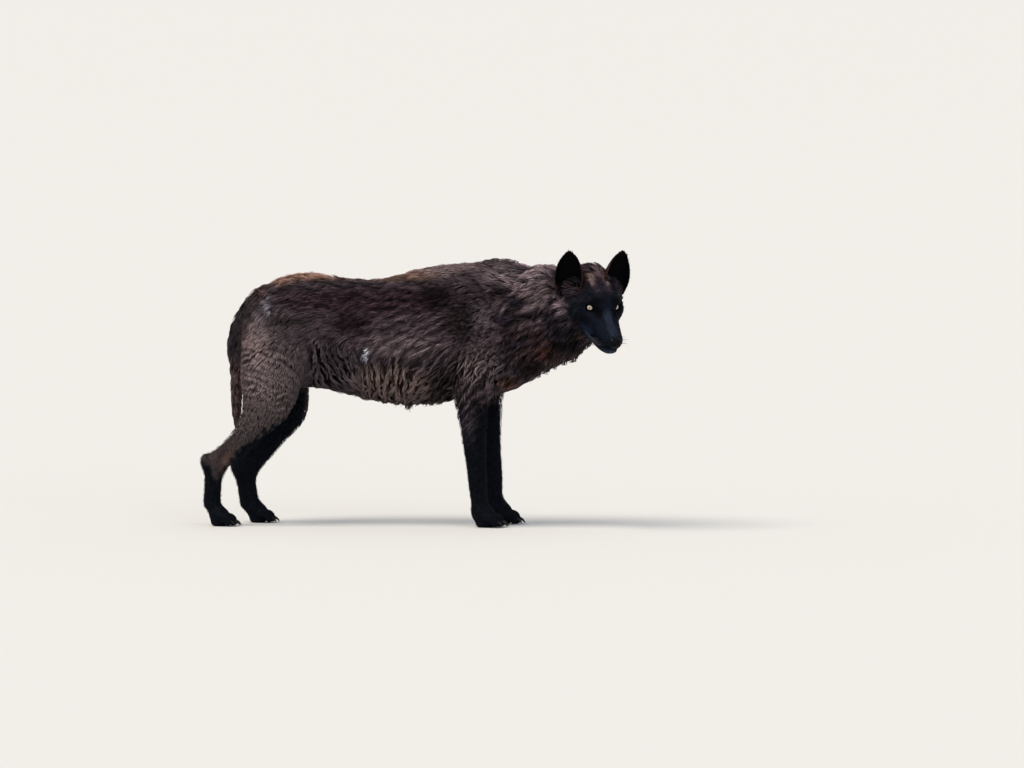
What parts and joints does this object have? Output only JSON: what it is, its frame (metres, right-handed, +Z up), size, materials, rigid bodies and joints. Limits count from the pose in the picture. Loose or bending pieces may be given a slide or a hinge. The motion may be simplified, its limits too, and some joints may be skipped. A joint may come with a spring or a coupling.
{
  "type": "wolf",
  "caption": "Life-size standing wolf with a dark moulting coat, hanging tail and head turned to its right and lowered.",
  "frame": {"origin": "on the floor under the middle of the animal's bounding box", "axes": "+X from the tail towards the chest, +Y to the animal's left, +Z up; the paws stand on Z = 0"},
  "size_m": [1.2468, 0.4344, 0.8095],
  "materials": {
    "coat_brown": "dense dull guard hair over wool, dark brown with tan tips, in moulting locks",
    "coat_black": "short close black hair with a faint blue-grey bloom",
    "coat_tail": "dark brush above, thin brown hair below",
    "nose_leather": "damp pebbled black nose pad",
    "eye": "wet pale yellow iris with a round black pupil"
  },
  "bodies": {
    "root": {"ear_left": "coat_black", "ear_right": "coat_black", "eye_left": "eye", "eye_right": "eye", "foreleg_left": "coat_black", "foreleg_right": "coat_black", "forepaw_left": "coat_black", "forepaw_right": "coat_black", "head": "coat_black", "hindpaw_left": "coat_black", "hindpaw_right": "coat_black", "neck": "coat_brown", "nose": "nose_leather", "shank_left": "coat_black", "shank_right": "coat_black", "tail": "coat_tail", "thigh_left": "coat_brown", "thigh_right": "coat_brown", "trunk": "coat_brown"}
  },
  "joints": []
}
